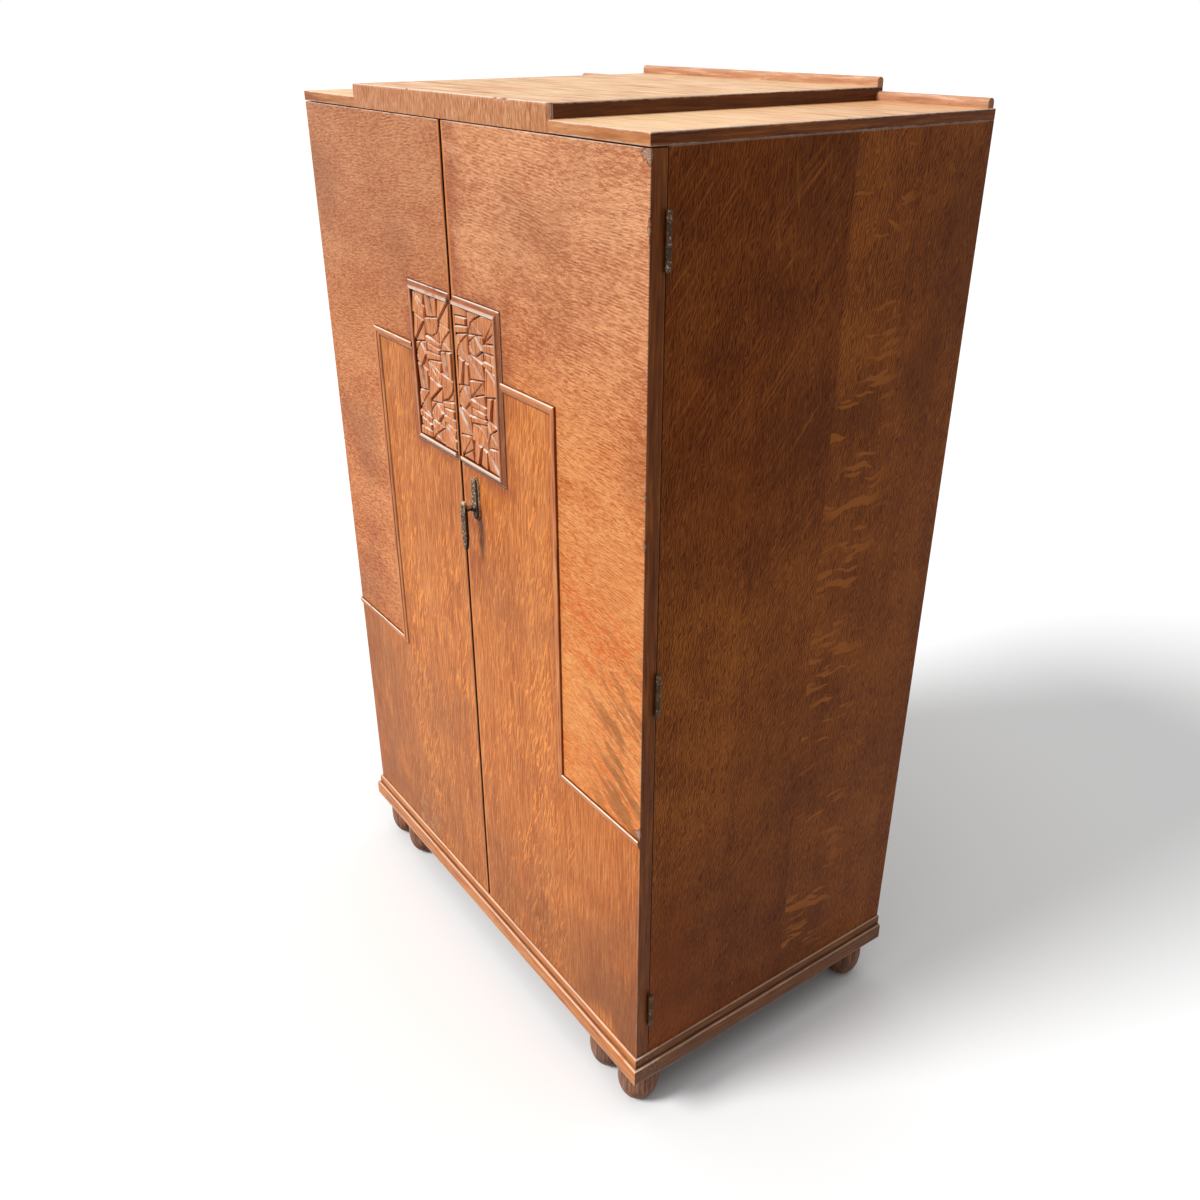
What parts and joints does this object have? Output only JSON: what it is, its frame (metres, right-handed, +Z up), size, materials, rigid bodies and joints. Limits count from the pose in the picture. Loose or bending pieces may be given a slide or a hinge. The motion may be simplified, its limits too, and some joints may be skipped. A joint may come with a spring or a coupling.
{
  "type": "linen cupboard",
  "caption": "Tall oak linen cupboard with a pair of hinged doors, carved panels, bead lines, a turn handle, a stepped top, inner shelves, a moulded plinth and bun feet.",
  "frame": {"origin": "on the floor under the middle of the overall box, lever included", "axes": "+X to the right seen from the front, +Y to the back, +Z up"},
  "size_m": [0.919, 0.5674, 1.49],
  "materials": {
    "case_oak": "oak veneer, brown, satin polish",
    "door_oak": "oak veneer, orange brown, satin polish",
    "carving_oak": "carved solid oak, satin polish",
    "top_oak": "oak, faded, satin polish",
    "moulding_oak": "solid oak, rubbed edges",
    "foot_oak": "turned oak, dark",
    "inside_wood": "plain softwood and ply, unfinished",
    "back_board": "thin plywood, unfinished",
    "handle_bronze": "hammered bronze, dark patina",
    "latch_iron": "black iron",
    "hinge_steel": "aged steel",
    "bolt_brass": "dull brass"
  },
  "bodies": {
    "case": {"back_panel": "back_board", "case_bottom": "inside_wood", "foot_back_left": "foot_oak", "foot_back_right": "foot_oak", "foot_blocks": "inside_wood", "foot_front_left_inner": "foot_oak", "foot_front_left_outer": "foot_oak", "foot_front_right_inner": "foot_oak", "foot_front_right_outer": "foot_oak", "hinge_case_leaves_left": "hinge_steel", "hinge_case_leaves_right": "hinge_steel", "hinge_pins_left": "hinge_steel", "hinge_pins_right": "hinge_steel", "ledge_centre": "top_oak", "ledge_left": "top_oak", "ledge_right": "top_oak", "plinth_back": "inside_wood", "plinth_front": "moulding_oak", "plinth_left": "moulding_oak", "plinth_right": "moulding_oak", "raised_fascia": "top_oak", "raised_top": "top_oak", "shelf_bearers_left": "inside_wood", "shelf_bearers_right": "inside_wood", "shelf_lower": "inside_wood", "shelf_middle": "inside_wood", "shelf_upper": "inside_wood", "side_panel_left": "case_oak", "side_panel_right": "case_oak", "top_board": "top_oak", "top_rail_back": "inside_wood", "top_rail_front": "inside_wood"},
    "left_door": {"bead_lower_left": "moulding_oak", "bead_upper_left": "moulding_oak", "bead_upright_left": "moulding_oak", "bolt_guide_lower": "bolt_brass", "bolt_guide_upper": "bolt_brass", "carved_panel_left": "carving_oak", "carving_frame_left": "moulding_oak", "door_lipping_left": "door_oak", "door_panel_left": "door_oak", "hinge_door_leaves_left": "hinge_steel", "latch_keeper": "latch_iron"},
    "right_door": {"bead_lower_right": "moulding_oak", "bead_upper_right": "moulding_oak", "bead_upright_right": "moulding_oak", "carved_panel_right": "carving_oak", "carving_frame_right": "moulding_oak", "door_lipping_right": "door_oak", "door_panel_right": "door_oak", "hinge_door_leaves_right": "hinge_steel", "handle_plate": "handle_bronze"},
    "handle": {"handle_lever": "handle_bronze", "handle_spindle": "handle_bronze", "latch_tongue": "latch_iron"},
    "upper_bolt": {"bolt_upper": "bolt_brass"},
    "lower_bolt": {"bolt_lower": "bolt_brass"}
  },
  "joints": [
    {"name": "left_door_hinge", "type": "hinge", "parent": "case", "child": "left_door", "pos_m": [-0.4539, -0.2345, 0.7895], "axis": [0, 0, -1], "range_deg": [0, 180]},
    {"name": "right_door_hinge", "type": "hinge", "parent": "case", "child": "right_door", "pos_m": [0.4539, -0.2345, 0.7895], "axis": [0, 0, 1], "range_deg": [0, 180]},
    {"name": "handle_turn", "type": "hinge", "parent": "right_door", "child": "handle", "pos_m": [0.043, -0.25725, 0.919], "axis": [0, 1, 0], "range_deg": [0, 90]},
    {"name": "upper_bolt_slide", "type": "slide", "parent": "left_door", "child": "upper_bolt", "axis": [0, 0, 1], "range_m": [0, 0.012]},
    {"name": "lower_bolt_slide", "type": "slide", "parent": "left_door", "child": "lower_bolt", "axis": [0, 0, -1], "range_m": [0, 0.012]}
  ]
}
